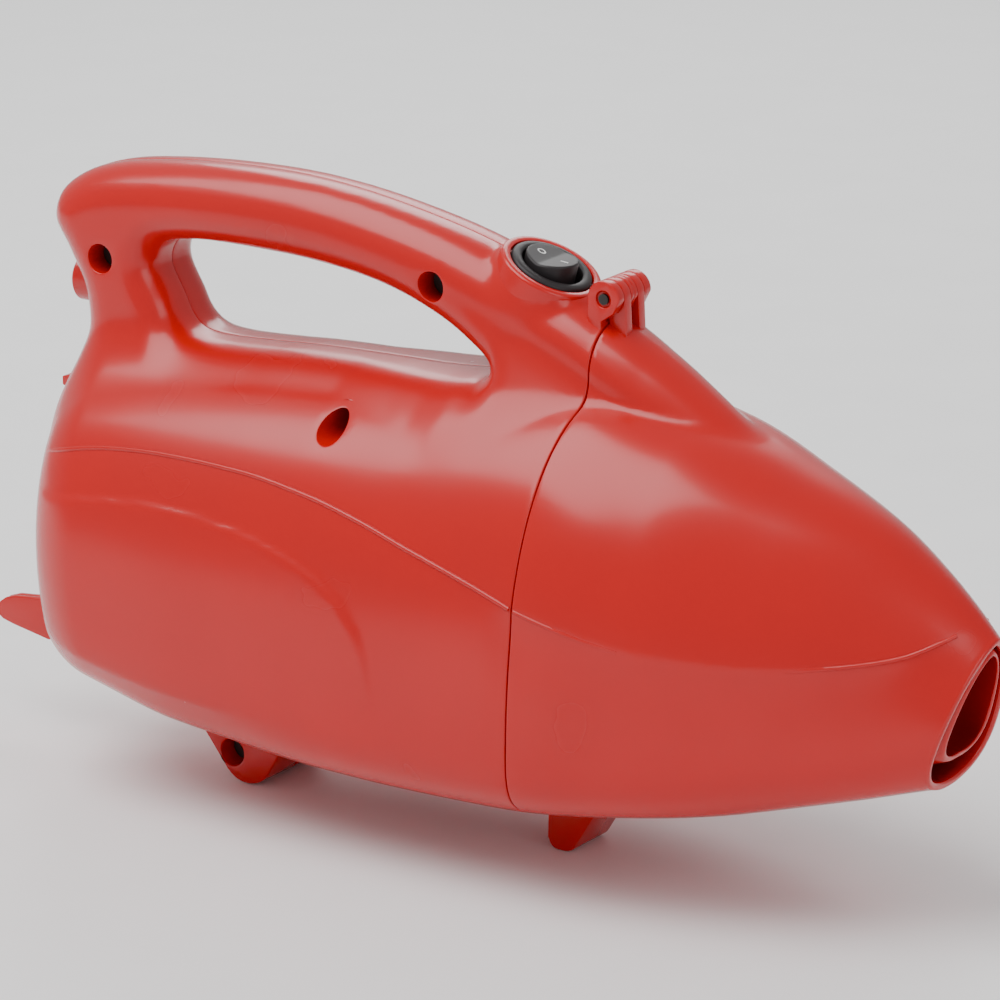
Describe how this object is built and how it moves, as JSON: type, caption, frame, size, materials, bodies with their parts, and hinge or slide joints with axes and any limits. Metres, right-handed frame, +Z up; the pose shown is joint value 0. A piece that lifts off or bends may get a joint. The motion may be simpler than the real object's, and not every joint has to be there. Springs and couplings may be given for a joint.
{
  "type": "handheld blower",
  "caption": "Compact handheld air blower and vacuum with a loop handle, round rocker switch, hinged nose cover with a teardrop mouth, and a rear blow outlet.",
  "frame": {"origin": "centre of the bounding box on the plane of the feet", "axes": "+X along the casing towards the mouth, +Y to the left half, +Z up"},
  "size_m": [0.335, 0.1098, 0.1781],
  "materials": {
    "casing_plastic": "glossy red injection moulding",
    "switch_plastic": "satin black moulding",
    "rocker_plastic": "satin black moulding with white marks",
    "frame_plastic": "dark grey moulding",
    "bright_steel": "zinc plated or ground steel",
    "lamination_steel": "stacked steel sheets with fine edges",
    "pressed_steel": "zinc coated pressed sheet",
    "cast_aluminium": "as cast",
    "pressed_aluminium": "rolled sheet",
    "copper_wire": "varnished copper",
    "brass": "stamped brass",
    "carbon": "pressed carbon",
    "black_rubber": "matt moulded rubber",
    "yellow_plastic": "moulded box",
    "filter_cloth": "pleated non-woven filter",
    "brown_insulation": "wire insulation",
    "blue_insulation": "wire insulation",
    "black_insulation": "wire insulation"
  },
  "bodies": {
    "casing": {"casing_right": "casing_plastic", "casing_left": "casing_plastic", "hinge_pin": "bright_steel", "casing_screws": "bright_steel", "switch_body": "switch_plastic", "switch_terminals": "brass", "front_bearing": "bright_steel", "rear_bearing": "bright_steel", "motor_front_bracket": "cast_aluminium", "motor_rear_bracket": "cast_aluminium", "field_core": "lamination_steel", "field_coils": "copper_wire", "carbon_brushes": "carbon", "brush_holders": "brass", "brush_springs": "bright_steel", "rear_rubber_mount": "black_rubber", "suppression_capacitor": "yellow_plastic", "fan_shroud": "pressed_steel", "shroud_rubber_ring": "black_rubber", "filter_frame": "frame_plastic", "filter_element": "filter_cloth", "outlet_grille": "frame_plastic", "cord_gland": "black_rubber", "lead_gland_to_switch": "brown_insulation", "lead_switch_to_motor": "black_insulation", "lead_gland_to_motor": "blue_insulation"},
    "cover": {"front_cover": "casing_plastic", "inlet_tube": "casing_plastic"},
    "rocker": {"switch_rocker": "rocker_plastic"},
    "rotor": {"motor_shaft": "bright_steel", "armature_core": "lamination_steel", "armature_windings": "copper_wire", "commutator": "copper_wire", "fan_impeller": "pressed_aluminium", "fan_washer": "bright_steel", "fan_nut": "bright_steel"}
  },
  "joints": [
    {"name": "cover_hinge", "type": "hinge", "parent": "casing", "child": "cover", "pos_m": [0.0495, 0, 0.159], "axis": [0, -1, 0], "range_deg": [0, 95]},
    {"name": "switch_rock", "type": "hinge", "parent": "casing", "child": "rocker", "pos_m": [0.02648, 0, 0.16039], "axis": [0, 1, 0], "range_deg": [0, 20]},
    {"name": "rotor_spin", "type": "hinge", "parent": "casing", "child": "rotor", "pos_m": [0, 0, 0.072], "axis": [1, 0, 0], "continuous": true}
  ]
}
